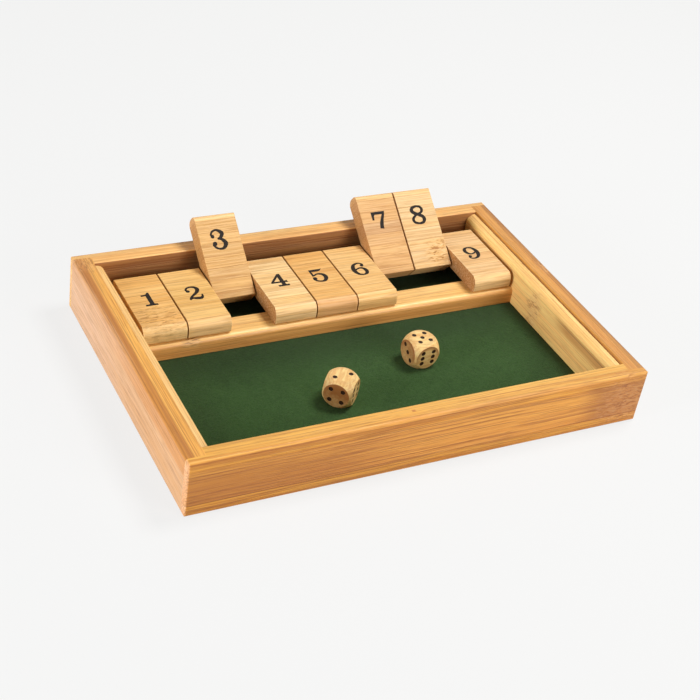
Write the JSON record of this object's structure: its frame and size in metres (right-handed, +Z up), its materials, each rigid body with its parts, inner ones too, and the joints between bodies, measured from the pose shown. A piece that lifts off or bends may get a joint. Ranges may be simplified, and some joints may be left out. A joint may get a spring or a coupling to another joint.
{
  "type": "shut the box game",
  "caption": "Shallow bamboo tray with a row of hinged number tiles on one rod, a green felt floor to roll on and a pair of wooden dice.",
  "frame": {"origin": "centre of the tray's flat underside, which rests on the table", "axes": "+X to the right along the row of tiles, +Y to the back rail that raised tiles lean on, +Z up"},
  "size_m": [0.262, 0.1807, 0.0496],
  "materials": {
    "bamboo_rail": "satin lacquered bamboo, orange tan with fine grain along the rail",
    "bamboo_wall": "satin lacquered bamboo, laminated from strips",
    "bamboo_cheek": "satin lacquered bamboo, light honey",
    "bamboo_tile": "satin lacquered bamboo, light, with grain across the tile",
    "bamboo_base": "sanded bamboo panel",
    "green_felt": "dark green wool felt",
    "rod_steel": "drawn steel rod",
    "die_wood": "smooth pale wood, lightly waxed",
    "dark_ink": "matt black-brown ink of the numerals and pips"
  },
  "bodies": {
    "tray": {"front_rail": "bamboo_rail", "back_rail": "bamboo_rail", "left_wall": "bamboo_wall", "right_wall": "bamboo_wall", "base_panel": "bamboo_base", "felt_lining": "green_felt", "left_cheek": "bamboo_cheek", "right_cheek": "bamboo_cheek", "tile_ledge": "bamboo_cheek", "hinge_rod": "rod_steel"},
    "flap_1": {"tile_1": "bamboo_tile"},
    "flap_2": {"tile_2": "bamboo_tile"},
    "flap_3": {"tile_3": "bamboo_tile"},
    "flap_4": {"tile_4": "bamboo_tile"},
    "flap_5": {"tile_5": "bamboo_tile"},
    "flap_6": {"tile_6": "bamboo_tile"},
    "flap_7": {"tile_7": "bamboo_tile"},
    "flap_8": {"tile_8": "bamboo_tile"},
    "flap_9": {"tile_9": "bamboo_tile"},
    "loose_left_die": {"left_die": "die_wood"},
    "loose_right_die": {"right_die": "die_wood"}
  },
  "joints": [
    {"name": "tile_1_hinge", "type": "hinge", "parent": "tray", "child": "flap_1", "pos_m": [-0.10062, 0.0594, 0.02285], "axis": [-1, 0, 0], "range_deg": [0, 143.29]},
    {"name": "tile_2_hinge", "type": "hinge", "parent": "tray", "child": "flap_2", "pos_m": [-0.07547, 0.0594, 0.02285], "axis": [-1, 0, 0], "range_deg": [0, 143.29]},
    {"name": "tile_3_hinge", "type": "hinge", "parent": "tray", "child": "flap_3", "pos_m": [-0.05031, 0.0594, 0.02285], "axis": [-1, 0, 0], "range_deg": [-143.29, 0]},
    {"name": "tile_4_hinge", "type": "hinge", "parent": "tray", "child": "flap_4", "pos_m": [-0.02516, 0.0594, 0.02285], "axis": [-1, 0, 0], "range_deg": [0, 143.29]},
    {"name": "tile_5_hinge", "type": "hinge", "parent": "tray", "child": "flap_5", "pos_m": [0, 0.0594, 0.02285], "axis": [-1, 0, 0], "range_deg": [0, 143.29]},
    {"name": "tile_6_hinge", "type": "hinge", "parent": "tray", "child": "flap_6", "pos_m": [0.02516, 0.0594, 0.02285], "axis": [-1, 0, 0], "range_deg": [0, 143.29]},
    {"name": "tile_7_hinge", "type": "hinge", "parent": "tray", "child": "flap_7", "pos_m": [0.05031, 0.0594, 0.02285], "axis": [-1, 0, 0], "range_deg": [-143.29, 0]},
    {"name": "tile_8_hinge", "type": "hinge", "parent": "tray", "child": "flap_8", "pos_m": [0.07547, 0.0594, 0.02285], "axis": [-1, 0, 0], "range_deg": [-143.29, 0]},
    {"name": "tile_9_hinge", "type": "hinge", "parent": "tray", "child": "flap_9", "pos_m": [0.10062, 0.0594, 0.02285], "axis": [-1, 0, 0], "range_deg": [0, 143.29]},
    {"name": "left_die_lift", "type": "slide", "parent": "tray", "child": "loose_left_die", "axis": [0, 0, 1], "range_m": [0, 0.04]},
    {"name": "right_die_lift", "type": "slide", "parent": "tray", "child": "loose_right_die", "axis": [0, 0, 1], "range_m": [0, 0.04]}
  ]
}
